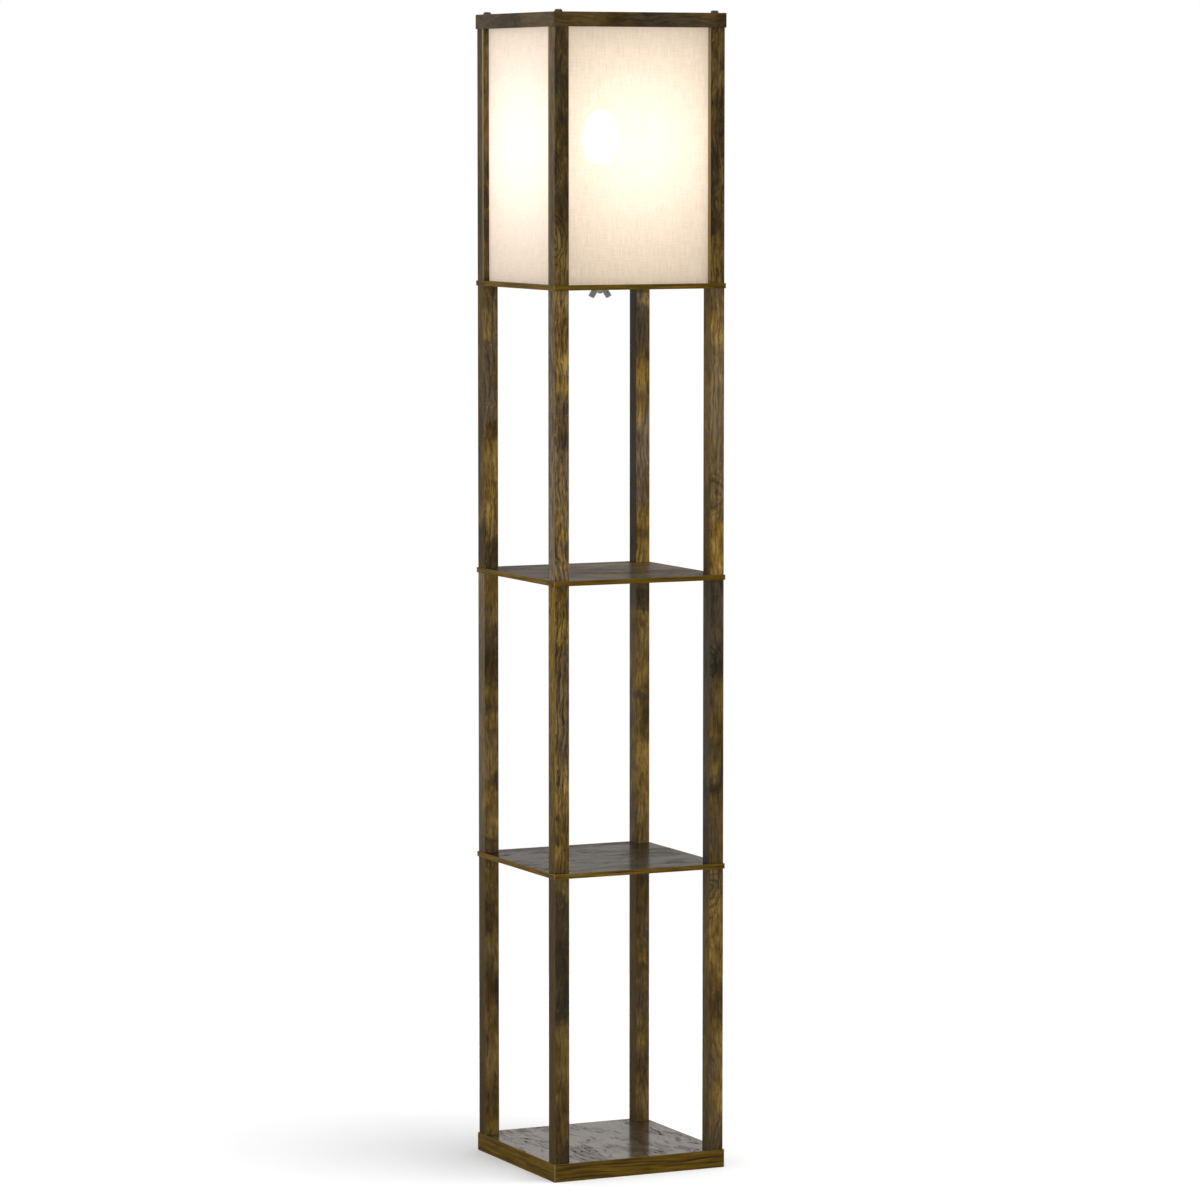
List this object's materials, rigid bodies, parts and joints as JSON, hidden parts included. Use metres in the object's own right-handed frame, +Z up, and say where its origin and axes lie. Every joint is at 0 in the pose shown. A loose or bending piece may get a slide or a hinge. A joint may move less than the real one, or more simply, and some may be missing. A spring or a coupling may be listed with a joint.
{
  "type": "shelf floor lamp",
  "caption": "Square wooden floor lamp with open shelf bays under a lit linen box shade, with a screw-in bulb and a wing-nut clamp.",
  "frame": {"origin": "centre of the base's flat underside, on the floor", "axes": "+X to the right and +Y to the back as seen from the front, +Z up along the tower"},
  "size_m": [0.26, 0.26, 1.6035],
  "materials": {
    "post_foil": "distressed oak print foil, satin",
    "board_laminate": "distressed oak laminate, semi-gloss",
    "edge_banding": "oak print banding, satin",
    "linen": "plain-weave linen, matt",
    "shade_liner": "translucent stiff film",
    "zinc_steel": "zinc plated",
    "bronzed_steel": "dark bronze, gloss",
    "cast_zinc": "grey casting, tumbled",
    "stem_metal": "black powder coat",
    "holder_moulding": "moulded, satin",
    "holder_ceramic": "glazed ceramic",
    "contact_brass": "pressed sheet",
    "bulb_opal": "opal, lit",
    "bulb_cap_metal": "rolled, bright",
    "bulb_solder": "soldered",
    "bulb_bead": "black glass",
    "grommet_rubber": "moulded, matt"
  },
  "bodies": {
    "stand": {"back_linen": "linen", "back_liner": "shade_liner", "back_rail": "post_foil", "base_board": "board_laminate", "base_bolts": "zinc_steel", "base_edge_banding": "edge_banding", "clamp_stud": "zinc_steel", "cord_grommet": "grommet_rubber", "front_linen": "linen", "front_liner": "shade_liner", "front_rail": "post_foil", "holder_cap": "holder_moulding", "holder_centre_contact": "contact_brass", "holder_insulator": "holder_ceramic", "holder_screw_shell": "contact_brass", "holder_shell": "holder_moulding", "left_linen": "linen", "left_liner": "shade_liner", "left_rail": "post_foil", "lower_post_back_left": "post_foil", "lower_post_back_right": "post_foil", "lower_post_front_left": "post_foil", "lower_post_front_right": "post_foil", "lower_shelf": "board_laminate", "lower_shelf_edge_banding": "edge_banding", "lower_shelf_studs": "zinc_steel", "middle_post_back_left": "post_foil", "middle_post_back_right": "post_foil", "middle_post_front_left": "post_foil", "middle_post_front_right": "post_foil", "post_inserts": "zinc_steel", "right_linen": "linen", "right_liner": "shade_liner", "right_rail": "post_foil", "shade_floor": "board_laminate", "shade_floor_edge_banding": "edge_banding", "shade_floor_studs": "zinc_steel", "shade_post_back_left": "post_foil", "shade_post_back_right": "post_foil", "shade_post_front_left": "post_foil", "shade_post_front_right": "post_foil", "stem_flange": "stem_metal", "stem_tube": "stem_metal", "top_cap_screws": "bronzed_steel", "upper_post_back_left": "post_foil", "upper_post_back_right": "post_foil", "upper_post_front_left": "post_foil", "upper_post_front_right": "post_foil", "upper_shelf": "board_laminate", "upper_shelf_edge_banding": "edge_banding", "upper_shelf_studs": "zinc_steel"},
    "bulb_tip": {"bulb_contact": "bulb_solder"},
    "bulb": {"bulb_glass": "bulb_opal", "bulb_cap": "bulb_cap_metal", "bulb_insulator": "bulb_bead"},
    "washer": {"clamp_washer": "zinc_steel"},
    "wing_nut": {"wing_nut": "cast_zinc"}
  },
  "joints": [
    {"name": "bulb_rise", "type": "slide", "parent": "stand", "child": "bulb_tip", "axis": [0, 0, 1], "range_m": [0, 0.0182]},
    {"name": "bulb_turn", "type": "hinge", "parent": "bulb_tip", "child": "bulb", "pos_m": [0, 0, 1.3785], "axis": [0, 0, 1], "range_deg": [0, 1800]},
    {"name": "washer_drop", "type": "slide", "parent": "stand", "child": "washer", "axis": [0, 0, -1], "range_m": [0, 0.00505]},
    {"name": "nut_turn", "type": "hinge", "parent": "washer", "child": "wing_nut", "pos_m": [0, 0, 1.218], "axis": [0, 0, -1], "range_deg": [0, 1800]}
  ],
  "couplings": [
    {"joint": "bulb_rise", "follows": "bulb_turn", "m_per_rad": 0.00057757},
    {"joint": "washer_drop", "follows": "nut_turn", "m_per_rad": 0.00015915}
  ]
}
